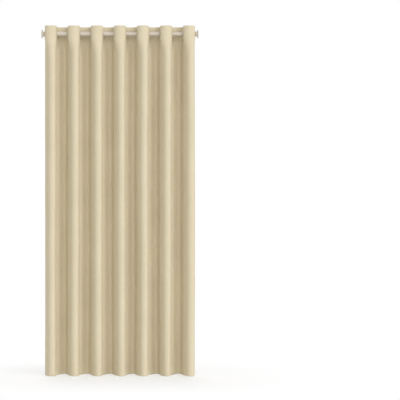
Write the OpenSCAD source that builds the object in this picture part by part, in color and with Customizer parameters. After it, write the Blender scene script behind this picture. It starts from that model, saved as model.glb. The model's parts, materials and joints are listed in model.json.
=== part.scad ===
// Blackout door curtain: one pleated eyelet panel on a sprung tension rod.
// The rod's axis is X, the room is towards -Y, and the origin is the middle of the left foot's pad.

/* [Rod] */
// Width of the doorway, from pad to pad
rod_span = 900; // [860:5:980]
// Outside diameter of the thick tube
outer_tube_od = 24; // [22:0.5:26]
// Length of the thick tube
outer_tube_len = 446; // [410:2:480]
// Length of the thin tube
inner_tube_len = 606; // [570:2:640]
// Wall of both tubes
tube_wall = 0.8; // [0.6:0.1:1]
// Radial running clearance between the two tubes
tube_clearance = 0.2; // [0.15:0.05:0.3]

/* [End caps] */
// Diameter of the foot
flange_od = 50; // [46:1:56]
// Thickness of the foot's rim
flange_rim_t = 3; // [2:0.1:4]
// Length of the bevel from the rim to the neck
flange_bevel_len = 4; // [3:0.1:5]
// Distance from the pad's face to the mouth of the neck
cap_len = 16; // [14:0.5:20]
// Wall of the neck over the thick tube
neck_wall = 2; // [1.6:0.1:3]
// Depth of the socket that takes the tube's end
socket_depth = 10; // [6:0.5:11]
// Diameter of the rubber pad
pad_od = 42; // [36:1:43]
// Thickness of the rubber pad
pad_t = 3; // [2:0.1:4]
// Height of the pad over the rim
pad_proud = 1.5; // [1:0.1:1.8]

/* [Thrust spring] */
// Length of the seat's plug
seat_len = 12; // [8:1:20]
// Mean diameter of the coil
spring_mean_d = 16; // [14:0.5:17]
// Diameter of the spring's wire
spring_wire_d = 1.6; // [1.2:0.1:2]
// Turns of the coil
spring_turns = 18; // [12:1:22]
// Length of the plunger's head in the thick tube
plunger_head_len = 12; // [8:1:20]
// Length of the plunger's shank in the thin tube
plunger_shank_len = 15; // [10:1:30]

/* [Eyelets] */
// Bore that the rod passes through
eyelet_bore = 35; // [32:0.5:38]
// Radial width of an eyelet's flange
eyelet_rim_w = 7.5; // [6:0.5:9]
// Height of the domed face half over the cloth
eyelet_face_h = 2.8; // [2.2:0.1:3.4]
// Height of the back half over the cloth
eyelet_back_h = 2.4; // [2:0.1:3]
// Wall of the barrel that passes through the cloth
barrel_wall = 1.2; // [1:0.1:1.6]
// Free play of the end eyelets beside the end caps
park_gap = 1.55; // [0.8:0.05:4]

/* [Curtain panel] */
// Height from the top edge to the hem
panel_drop = 2000; // [1600:10:2300]
// Folds that face the room
fold_count = 7; // [5:1:8]
// Thickness of one ply of cloth
cloth_t = 0.9; // [0.6:0.1:1.2]
// Height of the top edge over the rod's axis
heading_rise = 43; // [38:1:60]
// Height of the doubled band that holds the eyelets
heading_h = 98; // [90:1:130]
// Height of the hem
hem_h = 55; // [40:1:120]
// Width of the side hems
side_hem_w = 18; // [12:1:24]
// Depth of the round bends between the eyelets
bend_depth = 18; // [12:0.5:24]
// Depth of the ridges below the heading, in front of the rod's axis
ridge_depth = 49.5; // [42:0.5:56]
// Depth of the valleys below the heading, behind the rod's axis
valley_depth = 52.5; // [44:0.5:58]
// Height under the eyelets over which the folds ease into that line
relax_h = 100; // [50:5:200]

/* [Hidden] */
// Plies of cloth in the heading band and in a turned hem
heading_plies = 2;
hem_plies = 3;
// Height over which the edge of a turned band tapers to one ply
ply_taper = 1.2;
// How full the ridges and the valleys are at the hem.
// How far a ridge's crest tips to the left and a valley's to the right, or below zero the other way.
ridge_full_share = 2;
ridge_tip_share = -0.6;
valley_full_share = 1.2;
valley_tip_share = 0.6;
// Place of a row between the eyelets and the band's edge, as a share of the height between them
band_share = 0.5;
// Places of the rows under the heading, as shares of the height over which the folds ease
relax_shares = [0.2, 0.45, 0.75];
// Place of a row in the plain drape below them, as a share of its height
drape_share = 0.5;
// Facets of one bend, and of one fold's length table
bend_steps = 8;
table_steps = 48;

// Clearances of a barrel in its ring, and of an eyelet on the cloth and on the rod
barrel_fit = 0.1;
cloth_gap = 0.2;
rod_gap = 0.3;
// Clearances of a tube or a plug in its socket, and of the coil on its seats
socket_fit = 0.05;
coil_gap = 0.1;
// Flat margin of cloth around an eyelet
wall_margin = 1;
// Edge height of an eyelet's dome, and the bead that snaps its halves together
dome_edge_h = 0.8;
snap_bead = 0.3;
snap_len = 0.8;
dome_steps = 10;
// Round at the root of the neck, chamfers of the cap and the tubes, rounds of the tubes' plugs
neck_fillet = 1.5;
cap_chamfer = 0.6;
plug_chamfer = 0.5;
arc_steps = 6;
// Grooves in the pad's face
groove_w = 1.4;
groove_depth = 0.7;
groove_shares = [0.45, 0.72];
// Place of the fixed seat's face, as a share of the way from the thick tube's end to the plunger
seat_share = 0.43;
// Spigots that centre the coil
spigot_clearance = 1;
spigot_len = 8;
// Facets of the coil
coil_sides = 6;
coil_steps = 12;
// Overrun of every cut
cut_over = 1;

outer_tube_r = outer_tube_od / 2;
outer_bore_r = outer_tube_r - tube_wall;
inner_tube_r = outer_bore_r - tube_clearance;
inner_bore_r = inner_tube_r - tube_wall;
neck_r = outer_tube_r + neck_wall;
tube_seat_x = cap_len - socket_depth;
inner_end_x = rod_span - tube_seat_x - inner_tube_len;
plunger_face_x = inner_end_x - plunger_head_len;
seat_face_x = tube_seat_x + (plunger_face_x - tube_seat_x) * seat_share;
seat_x = seat_face_x - seat_len;

eyelet_count = 2 * fold_count;
bore_r = eyelet_bore / 2;
barrel_r = bore_r + barrel_wall;
ring_bore_r = barrel_r + barrel_fit;
eyelet_r = bore_r + eyelet_rim_w;
eyelet_z = outer_tube_r + rod_gap - bore_r;
// Places along an eyelet's axis, measured from the middle of the front ply towards its face
face_base = cloth_t / 2 + cloth_gap;
back_base = cloth_t / 2 + (heading_plies - 1) * cloth_t + cloth_gap;
back_end = back_base + eyelet_back_h;

first_eyelet_x = cap_len + park_gap + face_base + eyelet_face_h;
half_pitch = (rod_span - 2 * first_eyelet_x) / (eyelet_count - 1);
wall_half = eyelet_r + wall_margin;
return_len = wall_half + ply_taper + side_hem_w;
heading_end_z = heading_rise - heading_h;
hem_z = heading_rise - panel_drop;
hem_top_z = hem_z + hem_h;
relax_z = eyelet_z - wall_half;
band_row_z = relax_z + (heading_end_z - relax_z) * band_share;
relax_end_z = heading_end_z - relax_h;

cloth_colour = [0.80, 0.74, 0.62];
plastic_colour = [0.83, 0.78, 0.69];
paint_colour = [0.84, 0.79, 0.70];
rubber_colour = [0.62, 0.60, 0.56];
steel_colour = [0.62, 0.63, 0.64];

function two_digits(n) = n < 10 ? str("0", n) : str(n);
function face_name(i) = str("eyelet_face_", two_digits(i + 1));
function back_name(i) = str("eyelet_back_", two_digits(i + 1));
function eyelet_x(i) = first_eyelet_x + half_pitch * i;

// Points of an elliptical arc about a centre
function arc(centre, radii, from, to, steps) = [
  for (k = [0 : steps])
    let (a = from + (to - from) * k / steps)
      [centre.x + radii.x * cos(a), centre.y + radii.y * sin(a)]
];

// Running sums of a list
function sums(v) = [for (k = 0, s = v[0]; k < len(v); k = k + 1, s = s + (k < len(v) ? v[k] : 0)) s];
function tanh(v) = 1 - 2 / (exp(2 * v) + 1);
function reversed(v) = [for (k = [len(v) - 1 : -1 : 0]) v[k]];

// A turned piece on the X axis: its profile's points are [radius, place along X]
module turned(profile) {
  rotate([0, 90, 0])
    rotate_extrude($fn = 96)
      polygon(profile);
}

// The other end of the rod
module at_right_end() {
  translate([rod_span, 0, 0])
    mirror([1, 0, 0])
      children();
}

// A fold's line below the heading, from one eyelet's wall over its crest to the next wall.
// A fold is its depth, how full it is and how far its crest tips towards the wall that x starts from.
ridge_fold = [ridge_depth, ridge_full_share, ridge_tip_share];
valley_fold = [valley_depth, valley_full_share, valley_tip_share];
function hem_y(x, fold) =
  let (phase = 180 * (x / half_pitch - 1 / 2))
    let (tipped = phase + fold[2] * 180 / PI * cos(phase))
      -fold[0] * tanh(fold[1] * cos(tipped)) / tanh(fold[1]);

// Places along a fold's width by their share of its length
hem_xs = [for (k = [0 : table_steps]) half_pitch * k / table_steps];
function hem_table(fold) =
  let (line = [for (x = hem_xs) [x, hem_y(x, fold)]])
    let (run = sums([for (k = [0 : table_steps]) k == 0 ? 0 : norm(line[k] - line[k - 1])]))
      [for (k = [0 : table_steps]) [run[k] / run[table_steps], hem_xs[k]]];
ridge_table = hem_table(ridge_fold);
valley_table = hem_table(valley_fold);

// The same stretch in the heading: flat walls through the eyelets and a round bend between them.
// The bend is one arc, which its width and its depth fix.
bend_half = 2 * atan(2 * bend_depth / half_pitch);
bend_r = half_pitch / 2 / sin(bend_half);
bend_centre = [half_pitch / 2, bend_r - bend_depth - wall_half];
bend_line = arc(bend_centre, [bend_r, bend_r], 270 - bend_half, 270 + bend_half, bend_steps);
heading_fold = concat([[0, 0], [0, -wall_half / 2]], bend_line, [[half_pitch, -wall_half / 2]]);
heading_chords = [
  for (k = [0 : len(heading_fold) - 1])
    k == 0 ? 0 : norm(heading_fold[k] - heading_fold[k - 1])
];
heading_sums = sums(heading_chords);
fold_len = heading_sums[len(heading_sums) - 1] + wall_half / 2;
fold_shares = heading_sums / fold_len;

// Folds alternate: even ones stand towards the room, odd ones are the valleys behind the rod
function side(i) = i % 2 == 0 ? 1 : -1;
function heading_at(i) = [for (p = heading_fold) [eyelet_x(i) + p.x, side(i) * p.y]];
function ridge_at(i) = [
  for (share = fold_shares)
    let (x = lookup(share, ridge_table))
      [eyelet_x(i) + x, hem_y(x, ridge_fold)]
];
function valley_at(i) = [
  for (share = fold_shares)
    let (x = lookup(1 - share, valley_table))
      [eyelet_x(i + 1) - x, -hem_y(x, valley_fold)]
];
function hem_at(i) = side(i) > 0 ? ridge_at(i) : valley_at(i);

// The side hems run straight back from the first and the last eyelet
return_places = [return_len, return_len - side_hem_w, return_len - side_hem_w - ply_taper];
function return_line(i) = [for (y = return_places) [eyelet_x(i), y]];
last_eyelet = eyelet_count - 1;
end_line = concat([[eyelet_x(last_eyelet), 0]], reversed(return_line(last_eyelet)));
heading_line = concat(return_line(0), [for (i = [0 : last_eyelet - 1]) each heading_at(i)], end_line);
hem_line = concat(return_line(0), [for (i = [0 : last_eyelet - 1]) each hem_at(i)], end_line);
columns = len(heading_line);

// Extra plies behind the front one, by column and by row
function side_plies(c) = min(c, columns - 1 - c) < 2 ? hem_plies - 1 : 0;
rows = concat(
  [for (z = [heading_rise, relax_z, band_row_z, heading_end_z]) [z, heading_plies - 1]],
  [[heading_end_z - ply_taper, 0]],
  [for (share = relax_shares) [heading_end_z - relax_h * share, 0]],
  [[relax_end_z + (hem_top_z - relax_end_z) * drape_share, 0], [hem_top_z, 0]],
  [for (z = [hem_top_z - ply_taper, hem_z]) [z, hem_plies - 1]]
);

// How far the folds have eased at a height: 0 in the heading, 1 in the plain drape
function eased(z) = sin(90 * min(max((relax_z - z) / relax_h, 0), 1));

// One row of the panel: its front skin and its back skin, offset from the fold's line
function row_skins(row) =
  let (line = heading_line * (1 - eased(row[0])) + hem_line * eased(row[0]))
    [
      for (c = [0 : columns - 1])
        let (d = line[min(c + 1, columns - 1)] - line[max(c - 1, 0)])
          let (n = [-d.y, d.x] / norm(d))
            let (depth = cloth_t / 2 + cloth_t * max(row[1], side_plies(c)))
              each [
                [line[c].x - n.x * cloth_t / 2, line[c].y - n.y * cloth_t / 2, row[0]],
                [line[c].x + n.x * depth, line[c].y + n.y * depth, row[0]]
              ]
    ];

// Corner numbers of the panel's skins, and two triangles for each patch between them
function front(r, c) = (r * columns + c) * 2;
function back(r, c) = front(r, c) + 1;
function patch(p, q, s, t) = [[p, q, s], [p, s, t]];

module panel_sheet() {
  bottom = len(rows) - 1;
  right = columns - 1;
  polyhedron(
    points = [for (row = rows) each row_skins(row)],
    faces = concat(
      [
        for (r = [0 : bottom - 1], c = [0 : right - 1]) each concat(
          patch(front(r, c), front(r, c + 1), front(r + 1, c + 1), front(r + 1, c)),
          patch(back(r, c), back(r + 1, c), back(r + 1, c + 1), back(r, c + 1))
        )
      ],
      [
        for (c = [0 : right - 1]) each concat(
          patch(front(0, c), back(0, c), back(0, c + 1), front(0, c + 1)),
          patch(front(bottom, c), front(bottom, c + 1), back(bottom, c + 1), back(bottom, c))
        )
      ],
      [
        for (r = [0 : bottom - 1]) each concat(
          patch(front(r, 0), front(r + 1, 0), back(r + 1, 0), back(r, 0)),
          patch(front(r, right), back(r, right), back(r + 1, right), front(r + 1, right))
        )
      ]
    )
  );
}

module curtain_panel() {
  hole_len = 2 * (back_base + cut_over);
  color(cloth_colour)
    difference() {
      panel_sheet();
      for (i = [0 : last_eyelet])
        translate([eyelet_x(i), 0, eyelet_z])
          rotate([0, 90, 0])
            cylinder(h = hole_len, r = barrel_r + cloth_gap, center = true, $fn = 64);
    }
}

// An eyelet stands in its wall of cloth with its face half on the cloth's face
module in_wall(i) {
  translate([eyelet_x(i), 0, eyelet_z])
    rotate([0, 0, i % 2 == 0 ? 180 : 0])
      children();
}

// The face half: a domed flange with the barrel that lines the hole
module eyelet_face(i) {
  dome_h = eyelet_face_h - dome_edge_h;
  dome_centre = [(bore_r + eyelet_r) / 2, face_base + dome_edge_h];
  color(plastic_colour)
    in_wall(i)
      turned(concat(
        [[bore_r, -back_end]],
        arc(dome_centre, [eyelet_rim_w / 2, dome_h], 180, 0, dome_steps),
        [[eyelet_r, face_base], [barrel_r, face_base], [barrel_r, snap_len - back_end]],
        [[barrel_r + snap_bead, snap_len / 2 - back_end], [barrel_r, -back_end]]
      ));
}

// The back half: a domed ring that snaps over the barrel's bead
module eyelet_back(i) {
  snap_r = ring_bore_r + snap_bead;
  dome_h = eyelet_back_h - dome_edge_h;
  dome_centre = [(snap_r + eyelet_r) / 2, -back_base - dome_edge_h];
  color(plastic_colour)
    in_wall(i)
      turned(concat(
        [[ring_bore_r, -back_base], [eyelet_r, -back_base]],
        arc(dome_centre, [(eyelet_r - snap_r) / 2, -dome_h], 0, 180, dome_steps),
        [[ring_bore_r, snap_len + barrel_fit - back_end]]
      ));
}

// A tube with its ends eased
module tube(from, length, radius) {
  bore = radius - tube_wall;
  ease = tube_wall / 4;
  color(paint_colour)
    turned([
      [bore, from + ease],
      [bore + ease, from],
      [radius - ease, from],
      [radius, from + ease],
      [radius, from + length - ease],
      [radius - ease, from + length],
      [bore + ease, from + length],
      [bore, from + length - ease]
    ]);
}

module outer_tube() {
  tube(tube_seat_x, outer_tube_len, outer_tube_r);
}

module inner_tube() {
  tube(inner_end_x, inner_tube_len, inner_tube_r);
}

// The spring's fixed seat: a plug pressed into the thick tube, with a spigot for the coil
module spring_seat() {
  plug_r = outer_bore_r - socket_fit;
  spigot_r = spring_mean_d / 2 - spring_wire_d / 2 - spigot_clearance;
  color(plastic_colour)
    turned([
      [0, seat_x],
      [plug_r - plug_chamfer, seat_x],
      [plug_r, seat_x + plug_chamfer],
      [plug_r, seat_face_x],
      [spigot_r, seat_face_x],
      [spigot_r, seat_face_x + spigot_len - plug_chamfer],
      [spigot_r - plug_chamfer, seat_face_x + spigot_len],
      [0, seat_face_x + spigot_len]
    ]);
}

// The plunger: it glides in the thick tube, and its shank plugs the thin one
module spring_plunger() {
  head_r = outer_bore_r - tube_clearance;
  shank_r = inner_bore_r - socket_fit;
  spigot_r = spring_mean_d / 2 - spring_wire_d / 2 - spigot_clearance;
  color(plastic_colour)
    turned([
      [0, plunger_face_x - spigot_len],
      [spigot_r - plug_chamfer, plunger_face_x - spigot_len],
      [spigot_r, plunger_face_x - spigot_len + plug_chamfer],
      [spigot_r, plunger_face_x],
      [head_r, plunger_face_x],
      [head_r, inner_end_x],
      [shank_r, inner_end_x],
      [shank_r, inner_end_x + plunger_shank_len - plug_chamfer],
      [shank_r - plug_chamfer, inner_end_x + plunger_shank_len],
      [0, inner_end_x + plunger_shank_len]
    ]);
}

// The coil's advance along X after so many turns: closed end turns, and an even pitch between them
coil_len = plunger_face_x - seat_face_x - spring_wire_d - 2 * coil_gap;
open_pitch = (coil_len - 2 * spring_wire_d) / (spring_turns - 2);
function coil_x(turn) =
  seat_face_x + coil_gap + spring_wire_d / 2 + spring_wire_d * min(turn, 1)
  + open_pitch * min(max(turn - 1, 0), spring_turns - 2)
  + spring_wire_d * max(turn - spring_turns + 1, 0);

module tension_spring() {
  rings = spring_turns * coil_steps;
  wire_r = spring_wire_d / 2;
  points = [
    for (k = [0 : rings], s = [0 : coil_sides - 1])
      let (a = 360 * k / coil_steps, b = 360 * s / coil_sides)
        let (r = spring_mean_d / 2 + wire_r * cos(b))
          [coil_x(k / coil_steps) + wire_r * sin(b), r * cos(a), r * sin(a)]
  ];
  skin = [
    for (k = [0 : rings - 1], s = [0 : coil_sides - 1])
      let (t = (s + 1) % coil_sides, p = k * coil_sides)
        each patch(p + s, p + t, p + coil_sides + t, p + coil_sides + s)
  ];
  start = [for (s = [coil_sides - 1 : -1 : 0]) s];
  end = [for (s = [0 : coil_sides - 1]) rings * coil_sides + s];
  color(steel_colour)
    polyhedron(points = points, faces = concat(skin, [start, end]));
}

// An end cap: a bevelled foot with a recess for the pad, and a neck with a socket for the tube
module end_cap(tube_r) {
  foot_r = flange_od / 2;
  bevel_x = pad_proud + flange_rim_t;
  neck_x = bevel_x + flange_bevel_len;
  recess_r = pad_od / 2 + socket_fit;
  socket_r = tube_r + socket_fit;
  fillet_centre = [neck_r + neck_fillet, neck_x + neck_fillet];
  fillet = arc(fillet_centre, [neck_fillet, neck_fillet], 270, 180, arc_steps);
  color(plastic_colour)
    turned(concat(
      [[0, pad_t], [recess_r, pad_t], [recess_r, pad_proud], [foot_r - cap_chamfer, pad_proud]],
      [[foot_r, pad_proud + cap_chamfer], [foot_r, bevel_x]],
      fillet,
      [[neck_r, cap_len - cap_chamfer], [neck_r - cap_chamfer, cap_len], [socket_r, cap_len]],
      [[socket_r, tube_seat_x], [0, tube_seat_x]]
    ));
}

module left_end_cap() {
  end_cap(outer_tube_r);
}

module right_end_cap() {
  at_right_end()
    end_cap(inner_tube_r);
}

// A foot's rubber pad, with ring grooves in the face that grips the jamb
module pad() {
  pad_r = pad_od / 2;
  grooves = [
    for (share = groove_shares)
      let (r = pad_r * share)
        each [[r, 0], [r, groove_depth], [r + groove_w, groove_depth], [r + groove_w, 0]]
  ];
  color(rubber_colour)
    turned(concat(
      [[0, 0]],
      grooves,
      [[pad_r - cap_chamfer, 0], [pad_r, cap_chamfer], [pad_r, pad_t], [0, pad_t]]
    ));
}

module left_pad() {
  pad();
}

module right_pad() {
  at_right_end()
    pad();
}

curtain_panel();
outer_tube();
inner_tube();
spring_seat();
tension_spring();
spring_plunger();
left_end_cap();
right_end_cap();
left_pad();
right_pad();
for (i = [0 : last_eyelet]) {
  eyelet_face(i);
  eyelet_back(i);
}
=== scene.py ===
import json
import math

import bpy
import numpy as np
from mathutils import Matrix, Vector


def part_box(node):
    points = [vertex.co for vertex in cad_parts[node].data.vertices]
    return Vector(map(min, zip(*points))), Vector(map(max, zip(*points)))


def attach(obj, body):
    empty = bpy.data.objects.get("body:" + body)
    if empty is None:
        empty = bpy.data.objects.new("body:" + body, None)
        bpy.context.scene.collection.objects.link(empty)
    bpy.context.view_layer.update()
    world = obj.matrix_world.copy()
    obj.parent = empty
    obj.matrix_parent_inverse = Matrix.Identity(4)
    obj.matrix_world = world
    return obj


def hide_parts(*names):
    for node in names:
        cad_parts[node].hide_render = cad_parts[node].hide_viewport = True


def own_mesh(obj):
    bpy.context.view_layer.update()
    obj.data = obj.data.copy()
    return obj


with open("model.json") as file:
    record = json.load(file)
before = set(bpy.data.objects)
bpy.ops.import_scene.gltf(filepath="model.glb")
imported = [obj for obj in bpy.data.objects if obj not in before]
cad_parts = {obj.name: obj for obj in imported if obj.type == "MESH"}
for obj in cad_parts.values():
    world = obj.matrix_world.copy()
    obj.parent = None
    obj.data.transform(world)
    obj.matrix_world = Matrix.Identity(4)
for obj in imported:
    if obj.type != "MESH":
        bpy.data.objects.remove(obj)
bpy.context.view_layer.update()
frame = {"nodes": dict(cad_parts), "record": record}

# Driving sizes of the cloth, in metres, as in the CAD model
CLOTH_T = 0.0009
WALL_MARGIN = 0.001
BEND_DEPTH = 0.018
RIDGE_DEPTH = 0.0495
VALLEY_DEPTH = 0.0525
RELAX_H = 0.100
HEADING_H = 0.098
HEM_H = 0.055
SIDE_HEM_W = 0.018
PLY_TAPER = 0.0012

# Plies in the heading and in the hems, how full the folds are at the hem and how far their crests tip
HEADING_PLIES = 2
HEM_PLIES = 3
RIDGE_FULL = 2.0
RIDGE_TIP = -0.6
VALLEY_FULL = 1.2
VALLEY_TIP = 0.6

# Places read from the frame
EYELETS = sum(name.startswith("eyelet_face_") for name in frame["nodes"])
panel_lo, panel_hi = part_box("curtain_panel")
ring_lo, ring_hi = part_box("eyelet_back_01")
TOP_Z = panel_hi.z
HEM_Z = panel_lo.z
HEADING_END = TOP_Z - HEADING_H
HEM_TOP = HEM_Z + HEM_H
FIRST_X = panel_lo.x + CLOTH_T / 2
LAST_X = panel_hi.x - CLOTH_T / 2
MIDDLE_X = (FIRST_X + LAST_X) / 2
HALF_PITCH = (LAST_X - FIRST_X) / (EYELETS - 1)
RING_R = (ring_hi.z - ring_lo.z) / 2
RING_Z = (ring_hi.z + ring_lo.z) / 2
WALL_HALF = RING_R + WALL_MARGIN
RELAX_Z = RING_Z - WALL_HALF
RETURN_LEN = WALL_HALF + PLY_TAPER + SIDE_HEM_W

# Seams, set in from the edges of the turned plies, and the hollow that the stitching pulls into the cloth
SEAM_INSET = 0.004
HEADING_SEAM = HEADING_END + SEAM_INSET
HEM_SEAM = HEM_TOP - SEAM_INSET
SIDE_SEAM = SIDE_HEM_W - SEAM_INSET
DENT_DEPTH = 0.0003
DENT_WIDTH = 0.0016

# Grid of the cloth: columns in a fold, points on a fold's line, and steps between rows and columns
FOLD_COLUMNS = 26
BEND_POINTS = 121
HEM_POINTS = 241
HEADING_STEP = 0.0049
RELAX_STEP = 0.009
DRAPE_STEP = 0.024
HEM_STEP = 0.008
SEAM_STEP = 0.0015
EDGE_STEP = 0.004

# How far even rows stay over and under the heading's edge and the hem's, and over the last row
HEADING_CLEAR = (0.009, 0.008)
HEM_CLEAR = (0.004, 0.012)
LAST_CLEAR = 0.003

# Radius at which the eyelet holes are cut, under the rings, and the returns' columns from there inwards
HOLE_R = 0.0205
HOLE_COLUMNS = (HOLE_R, 0.0155, 0.0105, 0.0053)

# How uneven the folds are: their depth as a share, and their wander and two sizes of ripple in metres
SEED = 7
DEPTH_VARIES = 0.022
WANDER = 0.0015
RIPPLE = 0.00042
FINE_RIPPLE = 0.00014

# Heights and widths of the cells in which they change, and the width over which ripples fade at an eyelet
DEPTH_CELL_H = 0.9
WANDER_CELL_H = 0.7
RIPPLE_CELL_H = 0.26
RIPPLE_CELL_W = 0.050
FINE_CELL_H = 0.09
FINE_CELL_W = 0.021
RIPPLE_FADE = 0.030

# Shares of the drop over which the differences in depth and the wander come in
DEPTH_SHARE = 1 / 2
WANDER_SHARE = 2 / 3

# Lengths closer than this count as the same
TOLERANCE = 1e-6


def smooth(t):
    """Smoothstep of a value clipped to 0..1."""
    t = np.clip(t, 0, 1)
    return t * t * (3 - 2 * t)


def unit(vectors):
    """Vectors made one long."""
    return vectors / np.linalg.norm(vectors, axis=-1, keepdims=True)


def heading_fold():
    """One fold in the heading, wall to wall: flat walls through the eyelets, and a round bend in front."""
    half_angle = 2 * math.atan(2 * BEND_DEPTH / HALF_PITCH)
    radius = HALF_PITCH / 2 / math.sin(half_angle)
    a = np.linspace(-half_angle, half_angle, BEND_POINTS)
    x = HALF_PITCH / 2 + radius * np.sin(a)
    y = radius * (1 - np.cos(a)) - BEND_DEPTH - WALL_HALF
    return np.vstack([[0, 0], np.column_stack([x, y]), [HALF_PITCH, 0]])


def hem_fold(depth, full, tip):
    """One fold at the hem, wall to wall: full is how square it is, tip how far its crest leans to x = 0."""
    x = np.linspace(0, HALF_PITCH, HEM_POINTS)
    phase = math.pi * (x / HALF_PITCH - 0.5)
    leaned = phase + tip * np.cos(phase)
    y = -depth * np.tanh(full * np.cos(leaned)) / math.tanh(full)
    return np.column_stack([x, y])


def run_along(line):
    """Length of a line up to each of its points."""
    return np.concatenate([[0], np.cumsum(np.hypot(*np.diff(line, axis=0).T))])


def sample(line, shares):
    """Points of a line at shares of its length."""
    run = run_along(line)
    return np.column_stack([np.interp(shares * run[-1], run, line[:, k]) for k in (0, 1)])


FOLD_LEN = run_along(heading_fold())[-1]
PANEL_W = FOLD_LEN * (EYELETS - 1) + 2 * RETURN_LEN


def return_places():
    """Distances of the side returns' columns behind the end eyelets, edge first."""
    hem_edge = RETURN_LEN - SIDE_HEM_W
    seam = hem_edge + SEAM_INSET
    hem = [RETURN_LEN, RETURN_LEN - EDGE_STEP, seam + SEAM_STEP, seam, seam - SEAM_STEP, hem_edge]
    return np.array([*hem, hem_edge - PLY_TAPER, *HOLE_COLUMNS])


def across(ridge, valley):
    """The whole line of the panel, from left edge to right: a valley is a ridge turned round."""
    back = return_places()
    shares = np.arange(FOLD_COLUMNS) / FOLD_COLUMNS
    line = [np.column_stack([np.full(len(back), FIRST_X), back])]
    for i in range(EYELETS - 1):
        x = FIRST_X + HALF_PITCH * i
        if i % 2 == 0:
            line.append(sample(ridge, shares) + [x, 0])
        else:
            line.append([x + HALF_PITCH, 0] - sample(valley, 1 - shares))
    line.append([[LAST_X, 0]])
    line.append(np.column_stack([np.full(len(back), LAST_X), back[::-1]]))
    return np.vstack(line)


def column_places():
    """Place of each column on the flat cloth, from its left edge."""
    start = RETURN_LEN - return_places()
    folds = RETURN_LEN + FOLD_LEN * np.arange((EYELETS - 1) * FOLD_COLUMNS + 1) / FOLD_COLUMNS
    return np.concatenate([start, folds, PANEL_W - start[::-1]])


def row_places():
    """Heights of the cloth's rows, from the top edge to the hem, closer together at the seams."""
    fine = [seam + SEAM_STEP * k for seam in (HEADING_SEAM, HEM_SEAM) for k in (-2, -1, 0, 1, 2)]
    turns = [HEADING_END, HEADING_END - PLY_TAPER, HEM_TOP, HEM_TOP - PLY_TAPER]
    relax_end = RELAX_Z - RELAX_H
    even = np.concatenate([
        np.arange(TOP_Z, HEADING_END + HEADING_CLEAR[0], -HEADING_STEP),
        np.arange(HEADING_END - HEADING_CLEAR[1], relax_end, -RELAX_STEP),
        np.arange(relax_end, HEM_TOP + HEM_CLEAR[0], -DRAPE_STEP),
        np.arange(HEM_TOP - HEM_CLEAR[1], HEM_Z + LAST_CLEAR, -HEM_STEP),
        [HEM_Z],
    ])
    return np.sort(np.concatenate([even, fine, turns]))[::-1]


# Places of the grid's columns and rows on the flat cloth, and of the columns from the nearer side edge
COLUMN_U = column_places()
ROW_Z = row_places()
FROM_EDGE = np.minimum(COLUMN_U, PANEL_W - COLUMN_U)


def cell_weights(places, cell):
    """Weights of the cells' ends for each place: only the two ends of its own cell count."""
    t = (places - places.min()) / cell
    i = t.astype(int)
    w = smooth(t - i)
    each = np.arange(len(places))
    weights = np.zeros((len(places), i.max() + 2))
    weights[each, i] = 1 - w
    weights[each, i + 1] += w
    return weights


def smooth_noise(rng, cell_h, cell_w):
    """Seeded value noise on the cloth's grid, with cells of the given height and width."""
    rows, columns = cell_weights(ROW_Z, cell_h), cell_weights(COLUMN_U, cell_w)
    return rows @ rng.normal(size=(rows.shape[1], columns.shape[1])) @ columns.T


def eyelet_offsets():
    """The eyelet nearest to each column, and each point's distances from its middle, across and up."""
    middles = RETURN_LEN + FOLD_LEN * np.arange(EYELETS)
    nearest = np.abs(COLUMN_U[:, None] - middles).argmin(1)
    return nearest, *np.meshgrid(COLUMN_U - middles[nearest], ROW_Z - RING_Z)


def normals(points):
    """Unit normals of the grid, towards the back of the cloth."""
    return unit(np.cross(np.gradient(points, axis=1), np.gradient(points, axis=0)))


def cloth_surface():
    """Middle surface of the cloth's front ply, before its holes are made round."""
    rng = np.random.default_rng(SEED)
    ridge = hem_fold(RIDGE_DEPTH, RIDGE_FULL, RIDGE_TIP)
    valley = hem_fold(VALLEY_DEPTH, VALLEY_FULL, VALLEY_TIP)
    heading, hem = across(heading_fold(), heading_fold()), across(ridge, valley)
    relaxed = np.sin(np.clip((RELAX_Z - ROW_Z) / RELAX_H, 0, 1) * math.pi / 2)[:, None, None]
    line = heading * (1 - relaxed) + hem * relaxed

    # Folds differ a little in depth and wander a little sideways on the way down
    fallen = np.clip((RELAX_Z - ROW_Z) / (RELAX_Z - HEM_TOP), 0, 1)[:, None]
    depth = 1 + DEPTH_VARIES * smooth_noise(rng, DEPTH_CELL_H, FOLD_LEN) * smooth(fallen / DEPTH_SHARE)
    wander = WANDER * smooth_noise(rng, WANDER_CELL_H, FOLD_LEN) * smooth(fallen / WANDER_SHARE)
    points = np.empty((len(ROW_Z), len(COLUMN_U), 3))
    points[..., 0] = line[..., 0] + wander
    points[..., 1] = line[..., 1] * depth
    points[..., 2] = ROW_Z[:, None]

    # Ripples end at the eyelets, which hold the cloth flat
    ripple = RIPPLE * smooth_noise(rng, RIPPLE_CELL_H, RIPPLE_CELL_W)
    ripple += FINE_RIPPLE * smooth_noise(rng, FINE_CELL_H, FINE_CELL_W)
    _, du, dz = eyelet_offsets()
    free = smooth((np.hypot(du, dz) - RING_R) / RIPPLE_FADE)
    return points + normals(points) * (ripple * free)[..., None]


def grid_faces():
    """Faces of the grid outside the eyelet holes, as places of their corners in the grid."""
    index = np.arange(len(ROW_Z) * len(COLUMN_U)).reshape(len(ROW_Z), len(COLUMN_U))
    corners = [index[:-1, :-1], index[1:, :-1], index[1:, 1:], index[:-1, 1:]]
    quads = np.stack(corners, axis=-1).reshape(-1, 4)
    _, du, dz = eyelet_offsets()
    return quads[(np.hypot(du, dz).ravel()[quads] > HOLE_R).all(1)]


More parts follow.
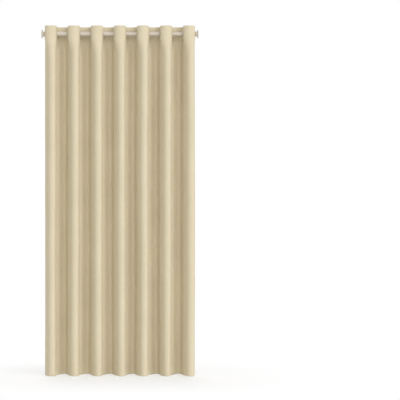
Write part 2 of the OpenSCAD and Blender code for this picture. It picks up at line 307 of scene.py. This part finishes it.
def open_edges(quads):
    """The edges that have a face on one side only, in the direction in which that face goes round."""
    edges = np.concatenate([quads[:, [k, (k + 1) % 4]] for k in range(4)])
    _, which, counts = np.unique(np.sort(edges, axis=1), axis=0, return_inverse=True, return_counts=True)
    return edges[counts[which.ravel()] == 1]


def make_holes_round(points, flat, borders):
    """Moves the grid's points beside a hole, and their places on the flat cloth, onto its circle."""
    i, j = np.unravel_index(np.unique(borders), (len(ROW_Z), len(COLUMN_U)))
    beside_hole = (i > 0) & (i < len(ROW_Z) - 1) & (j > 0) & (j < len(COLUMN_U) - 1)
    i, j = i[beside_hole], j[beside_hole]
    nearest, du, dz = eyelet_offsets()
    offset = np.column_stack([du[i, j], dz[i, j]])
    on_circle = unit(offset) * HOLE_R
    forward = np.where(nearest[j] % 2 == 0, -1, 1)
    points[i, j, 0] = FIRST_X + HALF_PITCH * nearest[j]
    points[i, j, 1] = forward * on_circle[:, 0]
    points[i, j, 2] = RING_Z + on_circle[:, 1]
    flat[i, j] += on_circle - offset


def plies_behind():
    """Plies of cloth behind the front one, for each row and column."""
    rows = np.zeros(len(ROW_Z))
    rows[ROW_Z >= HEADING_END - TOLERANCE] = HEADING_PLIES - 1
    rows[ROW_Z <= HEM_TOP - PLY_TAPER + TOLERANCE] = HEM_PLIES - 1
    columns = np.where(FROM_EDGE <= SIDE_HEM_W + TOLERANCE, HEM_PLIES - 1, 0)
    return np.maximum(rows[:, None], columns)


def seam_dent():
    """Depth of the hollow that the stitching pulls into the cloth, for each row and column."""
    def hollow(distance):
        return np.exp(-(distance / DENT_WIDTH) ** 2)

    rows = np.maximum(hollow(ROW_Z - HEADING_SEAM), hollow(ROW_Z - HEM_SEAM))
    return DENT_DEPTH * np.maximum(rows[:, None], hollow(FROM_EDGE - SIDE_SEAM))


def rounded_edge(front, back):
    """Points between the two skins, which stand out by half the cloth's thickness along its outer edges."""
    middle = (front + back) / 2
    out = np.zeros_like(middle)
    out[0] += middle[0] - middle[1]
    out[-1] += middle[-1] - middle[-2]
    out[:, 0] += middle[:, 0] - middle[:, 1]
    out[:, -1] += middle[:, -1] - middle[:, -2]
    out /= np.maximum(np.linalg.norm(out, axis=2, keepdims=True), TOLERANCE)
    return middle + out * np.linalg.norm(back - front, axis=2, keepdims=True) / 2


def new_object(name, vertices, faces):
    """A smooth-shaded mesh object."""
    mesh = bpy.data.meshes.new(name)
    mesh.from_pydata(np.asarray(vertices).tolist(), [], faces)
    mesh.polygons.foreach_set("use_smooth", np.ones(len(mesh.polygons), bool))
    mesh.update()
    made = bpy.data.objects.new(name, mesh)
    bpy.context.scene.collection.objects.link(made)
    return made


def lay_flat(piece, places):
    """Gives a mesh its UV map: one place on the flat cloth, in metres, for each vertex."""
    mesh = piece.data
    loops = np.empty(len(mesh.loops), int)
    mesh.loops.foreach_get("vertex_index", loops)
    layer = mesh.uv_layers.new(name="cloth")
    layer.data.foreach_set("uv", np.asarray(places, np.float32)[loops].ravel())


def make_cloth():
    """The panel, from front and back skins with real plies, joined along the edges and the eyelet holes."""
    points = cloth_surface()
    flat = np.stack(np.meshgrid(COLUMN_U, ROW_Z), axis=-1)
    quads = grid_faces()
    borders = open_edges(quads)
    make_holes_round(points, flat, borders)

    n = normals(points)
    dent = seam_dent()[..., None]
    behind = plies_behind()[..., None] * CLOTH_T
    front = points - n * (CLOTH_T / 2 - dent)
    back = points + n * (CLOTH_T / 2 + behind - dent)
    edge = rounded_edge(front, back)

    # The vertices of the front come first, then those of the back, then those of the edge between them
    to_back = len(ROW_Z) * len(COLUMN_U)
    to_edge = 2 * to_back
    start, end = borders.T
    front_sides = np.column_stack([end, start, start + to_edge, end + to_edge])
    back_sides = np.column_stack([end + to_edge, start + to_edge, start + to_back, end + to_back])
    faces = np.concatenate([quads, quads[:, ::-1] + to_back, front_sides, back_sides])
    used, renumbered = np.unique(faces, return_inverse=True)
    vertices = np.stack([front, back, edge]).reshape(-1, 3)[used]
    cloth = new_object("curtain_cloth", vertices, renumbered.reshape(faces.shape).tolist())
    lay_flat(cloth, np.tile(flat.reshape(-1, 2), (3, 1))[used])
    return cloth, front, back


# Stitching, in metres, and how far the side seams stop from the panel's top edge and its hem
STITCH_PITCH = 0.005
STITCH_LEN = 0.0036
THREAD_R = 0.00032
SIDE_SEAM_CLEAR = 0.006

# Stations along a stitch as shares of its length, its girths there as shares of the thread's, and its sides
STATION_SHARES = np.array([-0.5, -0.3, 0, 0.3, 0.5])
GIRTH_SHARES = np.array([0.25, 0.85, 1.0, 0.85, 0.25])
THREAD_SIDES = 6


def on_grid(skin, places):
    """Points of a skin at places on the flat cloth."""
    at_u, at_z = places[..., 0], places[..., 1]
    c = np.clip(np.searchsorted(COLUMN_U, at_u) - 1, 0, len(COLUMN_U) - 2)
    d = np.clip(np.searchsorted(-ROW_Z, -at_z) - 1, 0, len(ROW_Z) - 2)
    s = ((at_u - COLUMN_U[c]) / (COLUMN_U[c + 1] - COLUMN_U[c]))[..., None]
    t = ((at_z - ROW_Z[d]) / (ROW_Z[d + 1] - ROW_Z[d]))[..., None]
    upper = skin[d, c] * (1 - s) + skin[d, c + 1] * s
    lower = skin[d + 1, c] * (1 - s) + skin[d + 1, c + 1] * s
    return upper * (1 - t) + lower * t


def seam_runs():
    """The seams as start and end places on the flat cloth: heading, hem and the two side hems."""
    left, right = SIDE_SEAM, PANEL_W - SIDE_SEAM
    high, low = TOP_Z - SIDE_SEAM_CLEAR, HEM_Z + SIDE_SEAM_CLEAR
    return np.array([
        [(left, HEADING_SEAM), (right, HEADING_SEAM)],
        [(left, HEM_SEAM), (right, HEM_SEAM)],
        [(left, high), (left, low)],
        [(right, high), (right, low)],
    ])


def seam_stitches(skin, outward, start, end):
    """Rings of points round each stitch of a seam on one skin, and their places on the flat cloth."""
    length = np.linalg.norm(end - start)
    middles = np.arange(STITCH_PITCH, length, STITCH_PITCH)
    along = middles[:, None] + STATION_SHARES * STITCH_LEN
    places = start + along[..., None] * (end - start) / length
    centres = on_grid(skin, places)
    lift = unit(on_grid(outward, places))
    sideways = np.cross(unit(centres[:, -1:] - centres[:, :1]), lift)
    turns = np.linspace(0, 2 * math.pi, THREAD_SIDES, endpoint=False)[:, None]
    ring = np.cos(turns) * sideways[:, :, None] + np.sin(turns) * lift[:, :, None]
    shells = centres[:, :, None] + ring * (THREAD_R * GIRTH_SHARES)[:, None, None]
    return shells, np.repeat(places[:, :, None], THREAD_SIDES, axis=2)


def make_stitching(front, back):
    """Lockstitch along every seam, on both faces of the cloth: each stitch is a small grain of thread."""
    rows = []
    for skin, outward in ((front, -normals(front)), (back, normals(back))):
        rows += [seam_stitches(skin, outward, start, end) for start, end in seam_runs()]
    shells, places = (np.concatenate(parts) for parts in zip(*rows))
    ring = np.arange(shells[..., 0].size).reshape(shells.shape[:3])
    turned = np.roll(ring, -1, axis=2)
    sides = np.stack([ring[:, :-1], ring[:, 1:], turned[:, 1:], turned[:, :-1]], axis=-1).reshape(-1, 4)
    faces = sides.tolist() + ring[:, 0].tolist() + ring[:, -1, ::-1].tolist()
    stitching = new_object("hem_stitching", shells.reshape(-1, 3), faces)
    lay_flat(stitching, places.reshape(-1, 2))
    return stitching


# Colours, linear
CLOTH = (0.638, 0.565, 0.413)
CLOTH_DEEP = (0.592, 0.523, 0.372)
THREAD = (0.680, 0.605, 0.455)
PAINT = (0.560, 0.508, 0.432)
PLASTIC = (0.690, 0.630, 0.530)
EYELET = (0.650, 0.570, 0.420)
INNER = (0.720, 0.700, 0.650)
RUBBER = (0.330, 0.310, 0.275)
STEEL = (0.520, 0.520, 0.515)
SHEEN = (1.0, 0.93, 0.80)
FLOOR = (0.92, 0.92, 0.915)
STUDIO = (1.0, 0.985, 0.96)

# Widths of a yarn in the weave, and the slubs for each metre across and down the cloth
CLOTH_YARN = 0.00045
THREAD_YARN = 0.00012
WARP_SLUBS = (800, 14, 1)
WEFT_SLUBS = (12, 720, 1)

# Streaks for each metre along and across a drawn tube
TUBE_STREAKS = (4, 260, 260)

# The wave texture's phase, in radians, for one unit of its scale and of its coordinate
WAVE_PHASE = 20


def opaque(colour):
    """A colour with its opacity, which is full."""
    return (*colour, 1)


def darker(colour, by):
    """A colour made darker by a share."""
    return [c * (1 - by) for c in colour]


class Shader:
    """A material with a Principled shader and short ways to add nodes to it."""

    def __init__(self, name, **sockets):
        self.material = bpy.data.materials.new(name)
        self.material.use_nodes = True
        self.tree = self.material.node_tree
        self.surface = self.tree.nodes["Principled BSDF"]
        for socket, value in sockets.items():
            self.surface.inputs[socket.replace("_", " ")].default_value = value

    def node(self, kind, **settings):
        """A new node, with settings for its properties and its sockets."""
        made = self.tree.nodes.new(kind)
        for key, value in settings.items():
            if hasattr(made, key):
                setattr(made, key, value)
            else:
                made.inputs[key.replace("_", " ")].default_value = value
        return made

    def link(self, source, target):
        """Joins an output to a socket."""
        self.tree.links.new(source, target)

    def drive(self, source, socket):
        """Lets an output drive a socket of the Principled shader."""
        self.link(source, self.surface.inputs[socket])

    def places(self, which, scale=(1, 1, 1)):
        """A coordinate, scaled along its axes."""
        source = self.node("ShaderNodeTexCoord")
        mapping = self.node("ShaderNodeMapping", Scale=scale)
        self.link(source.outputs[which], mapping.inputs["Vector"])
        return mapping.outputs["Vector"]

    def noise(self, vector, scale=1.0, detail=3.0):
        """Noise with this many cells, its scale, for each unit of a coordinate."""
        made = self.node("ShaderNodeTexNoise", Scale=scale, Detail=detail)
        self.link(vector, made.inputs["Vector"])
        return made.outputs["Fac"]

    def mix(self, a, b, share):
        """A number between two others: share is how much of b it has, fixed or from an output."""
        made = self.node("ShaderNodeMix", data_type="FLOAT")
        self.link(a, made.inputs["A"])
        self.link(b, made.inputs["B"])
        if isinstance(share, float):
            made.inputs["Factor"].default_value = share
        else:
            self.link(share, made.inputs["Factor"])
        return made.outputs["Result"]

    def ramp(self, value, low, high, stops=(0.3, 0.7)):
        """A colour between low and high."""
        made = self.node("ShaderNodeValToRGB")
        for element, stop, colour in zip(made.color_ramp.elements, stops, (low, high)):
            element.position = stop
            element.color = opaque(colour)
        self.link(value, made.inputs["Fac"])
        return made.outputs["Color"]

    def spread(self, value, low, high):
        """A number between low and high."""
        made = self.node("ShaderNodeMapRange", To_Min=low, To_Max=high)
        self.link(value, made.inputs["Value"])
        return made.outputs["Result"]

    def bump(self, height, strength, distance, under=None):
        """A bumpy normal, on top of another one if that is given."""
        made = self.node("ShaderNodeBump", Strength=strength, Distance=distance)
        self.link(height, made.inputs["Height"])
        if under is not None:
            self.link(under, made.inputs["Normal"])
        return made.outputs["Normal"]


def woven(name, light, deep, yarn):
    """Dense dull woven cloth: plain weave, slubs along the warp and the weft, and a faint cloudiness."""
    s = Shader(name, Specular_IOR_Level=0.22,
               Sheen_Weight=0.22, Sheen_Roughness=0.45, Sheen_Tint=opaque(SHEEN))
    flat = s.places("UV")
    slubs = s.mix(s.noise(s.places("UV", WARP_SLUBS)), s.noise(s.places("UV", WEFT_SLUBS)), share=0.5)
    tone = s.mix(slubs, s.noise(flat, scale=5.0), share=0.4)
    s.drive(s.ramp(tone, deep, light, stops=(0.38, 0.62)), "Base Color")
    s.drive(s.spread(slubs, low=0.74, high=0.90), "Roughness")

    # A plain weave repeats every two yarns, and warp and weft lie on top by turns
    bands = 2 * math.pi / (WAVE_PHASE * 2 * yarn)
    warp = s.node("ShaderNodeTexWave", bands_direction="X", Scale=bands)
    weft = s.node("ShaderNodeTexWave", bands_direction="Y", Scale=bands)
    over = s.node("ShaderNodeTexChecker", Scale=1 / yarn)
    for texture in (warp, weft, over):
        s.link(flat, texture.inputs["Vector"])
    weave = s.mix(warp.outputs["Fac"], weft.outputs["Fac"], share=over.outputs["Fac"])
    uneven = s.bump(slubs, strength=0.35, distance=0.0004)
    s.drive(s.bump(weave, strength=0.30, distance=0.00015, under=uneven), "Normal")
    return s.material


def moulded(name, colour, roughness, grain, mottle=0.04):
    """Moulded plastic or rubber: a faint mottle, uneven gloss and a fine spark-eroded grain."""
    s = Shader(name)
    space = s.places("Object")
    s.drive(s.ramp(s.noise(space, scale=60.0), darker(colour, mottle), colour), "Base Color")
    gloss = s.noise(space, scale=240.0, detail=4.0)
    s.drive(s.spread(gloss, low=roughness - 0.06, high=roughness + 0.06), "Roughness")
    s.drive(s.bump(s.noise(space, scale=grain, detail=2.0), strength=0.25, distance=0.0001), "Normal")
    return s.material


def painted(name, colour):
    """Powder-coated tube: a slight orange peel, and a drawn look along the tube."""
    s = Shader(name, Coat_Weight=0.12, Coat_Roughness=0.25, Specular_IOR_Level=0.45)
    space = s.places("Object")
    streaks = s.noise(s.places("Object", TUBE_STREAKS))
    s.drive(s.ramp(streaks, darker(colour, by=0.045), colour), "Base Color")
    s.drive(s.spread(s.noise(space, scale=90.0), low=0.34, high=0.46), "Roughness")
    s.drive(s.bump(s.noise(space, scale=700.0, detail=2.0), strength=0.22, distance=0.0002), "Normal")
    return s.material


def wire(name, colour):
    """Drawn spring wire."""
    s = Shader(name, Metallic=1.0)
    space = s.places("Object")
    s.drive(s.ramp(s.noise(space, scale=500.0), darker(colour, by=0.15), colour), "Base Color")
    s.drive(s.spread(s.noise(space, scale=900.0, detail=2.0), low=0.28, high=0.42), "Roughness")
    return s.material


def dress_nodes():
    """Finishes for the CAD nodes, by the record's material slots."""
    finishes = {
        "cloth": woven("cloth_under", CLOTH, CLOTH_DEEP, CLOTH_YARN),
        "rod_paint": painted("rod_paint", PAINT),
        "cap_plastic": moulded("cap_plastic", PLASTIC, roughness=0.42, grain=2600.0),
        "eyelet_plastic": moulded("eyelet_plastic", EYELET, roughness=0.36, grain=3000.0),
        "inner_plastic": moulded("inner_plastic", INNER, roughness=0.5, grain=2400.0),
        "pad_rubber": moulded("pad_rubber", RUBBER, roughness=0.78, grain=1800.0, mottle=0.1),
        "spring_steel": wire("spring_steel", STEEL),
    }
    for part in frame["record"]["subparts"]:
        node = frame["nodes"][part["node"]]
        node.data.materials.clear()
        node.data.materials.append(finishes[part["material_slot"]])


def put_on(piece, material, body):
    """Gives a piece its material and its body."""
    piece.data.materials.append(material)
    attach(piece, body)


def make_panel():
    """The sewn panel, in place of its CAD solid."""
    cloth, front, back = make_cloth()
    put_on(cloth, woven("blackout_cloth", CLOTH, CLOTH_DEEP, CLOTH_YARN), "rod_outer")
    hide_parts("curtain_panel")
    stitching = make_stitching(front, back)
    put_on(stitching, woven("sewing_thread", THREAD, CLOTH, THREAD_YARN), "rod_outer")
    for piece in (cloth, stitching):
        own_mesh(piece)


# Floor, in metres: its size, its gap under the hem, and the distances from the curtain between which it
# turns white, and the share of white that it has beside the curtain
FLOOR_SIZE = 60.0
FLOOR_GAP = 0.006
WHITE_START = 0.03
WHITE_END = 0.7
WHITE_SHARE = 0.5

# Camera: its distance from the rod's axis and the size of a pixel at the front of the heading, in metres,
# its sensor in millimetres, and the places of the curtain's middle and top edge in the image
VIEW_DISTANCE = 7.7
PIXEL_SIZE = 0.0057078
SENSOR_MM = 36.0
IMAGE_PIXELS = 400
MIDDLE_PIXEL = 119.9
TOP_PIXEL = 25.5


def seen_directly(tree):
    """1 for rays that come from the camera, straight, by reflection or through glass, and 0 for light."""
    path = tree.nodes.new("ShaderNodeLightPath")
    seen = path.outputs["Is Camera Ray"]
    for other in ("Is Glossy Ray", "Is Transmission Ray"):
        either = tree.nodes.new("ShaderNodeMath")
        either.operation = "MAXIMUM"
        tree.links.new(seen, either.inputs[0])
        tree.links.new(path.outputs[other], either.inputs[1])
        seen = either.outputs["Value"]
    return seen


def distance_from_curtain(s, floor_z):
    """Distance of a point of the floor from the rectangle that the curtain hangs over."""
    away = s.node("ShaderNodeNewGeometry").outputs["Position"]
    middle = (MIDDLE_X, 0, floor_z)
    half = ((LAST_X - FIRST_X) / 2, panel_hi.y, 0)
    steps = [("SUBTRACT", middle), ("ABSOLUTE", None), ("SUBTRACT", half), ("MAXIMUM", (0, 0, 0))]
    for operation, by in steps:
        step = s.node("ShaderNodeVectorMath", operation=operation)
        s.link(away, step.inputs[0])
        if by is not None:
            step.inputs[1].default_value = by
        away = step.outputs["Vector"]
    length = s.node("ShaderNodeVectorMath", operation="LENGTH")
    s.link(away, length.inputs[0])
    return length.outputs["Value"]


def make_floor():
    """A pale floor that takes the object's shadow close to it and turns to plain white further off."""
    z = HEM_Z - FLOOR_GAP
    h = FLOOR_SIZE / 2
    corners = [(MIDDLE_X + a * h, b * h, z) for a, b in ((-1, -1), (1, -1), (1, 1), (-1, 1))]
    floor = new_object("floor", corners, [(0, 1, 2, 3)])
    s = Shader("pale_floor", Base_Color=opaque(FLOOR), Roughness=0.7)
    fade = s.node("ShaderNodeMapRange", interpolation_type="SMOOTHSTEP",
                  From_Min=WHITE_START, From_Max=WHITE_END, To_Min=WHITE_SHARE)
    s.link(distance_from_curtain(s, z), fade.inputs["Value"])
    whiteness = s.node("ShaderNodeMath", operation="MULTIPLY")
    s.link(seen_directly(s.tree), whiteness.inputs[0])
    s.link(fade.outputs["Result"], whiteness.inputs[1])
    white = s.node("ShaderNodeEmission")
    mixed = s.node("ShaderNodeMixShader")
    s.link(whiteness.outputs["Value"], mixed.inputs["Fac"])
    s.link(s.surface.outputs["BSDF"], mixed.inputs[1])
    s.link(white.outputs["Emission"], mixed.inputs[2])
    s.link(mixed.outputs["Shader"], s.tree.nodes["Material Output"].inputs["Surface"])
    floor.data.materials.append(s.material)


def make_world(level):
    """White where it is seen directly or in a reflection, and a plain level of light elsewhere."""
    world = bpy.data.worlds.new("studio")
    bpy.context.scene.world = world
    world.use_nodes = True
    tree = world.node_tree
    seen = tree.nodes["Background"]
    seen.inputs["Color"].default_value = (1, 1, 1, 1)
    seen.inputs["Strength"].default_value = 1.0
    lit = tree.nodes.new("ShaderNodeBackground")
    lit.inputs["Color"].default_value = opaque(STUDIO)
    lit.inputs["Strength"].default_value = level
    mixed = tree.nodes.new("ShaderNodeMixShader")
    tree.links.new(seen_directly(tree), mixed.inputs["Fac"])
    tree.links.new(lit.outputs["Background"], mixed.inputs[1])
    tree.links.new(seen.outputs["Background"], mixed.inputs[2])
    tree.links.new(mixed.outputs["Shader"], tree.nodes["World Output"].inputs["Surface"])


def make_sun(name, bearing, height, softness, strength):
    """Even soft light, by angles in degrees: its bearing to the camera's right, its height, its width."""
    lamp = bpy.data.lights.new(name, "SUN")
    lamp.energy = strength
    lamp.angle = math.radians(softness)
    made = bpy.data.objects.new(name, lamp)
    bpy.context.scene.collection.objects.link(made)
    made.rotation_euler = (math.radians(90 - height), 0, math.radians(bearing))


def make_camera():
    """Straight on to the curtain, with the frame shifted to its right."""
    data = bpy.data.cameras.new("camera")
    data.sensor_width = SENSOR_MM
    heading_distance = VIEW_DISTANCE - WALL_HALF - BEND_DEPTH
    data.lens = SENSOR_MM * heading_distance / (PIXEL_SIZE * IMAGE_PIXELS)
    data.shift_x = 0.5 - MIDDLE_PIXEL / IMAGE_PIXELS
    camera = bpy.data.objects.new("camera", data)
    bpy.context.scene.collection.objects.link(camera)
    camera.location = (MIDDLE_X, -VIEW_DISTANCE, TOP_Z - (IMAGE_PIXELS / 2 - TOP_PIXEL) * PIXEL_SIZE)
    camera.rotation_euler = (math.pi / 2, 0, 0)
    bpy.context.scene.camera = camera


make_camera()
make_panel()
dress_nodes()
make_floor()
make_world(level=0.59)
make_sun("key", bearing=50, height=24, softness=42, strength=1.13)
make_sun("fill", bearing=5, height=24, softness=52, strength=0.92)
make_sun("back", bearing=190, height=20, softness=60, strength=0.9)
bpy.context.scene.view_settings.view_transform = "Standard"
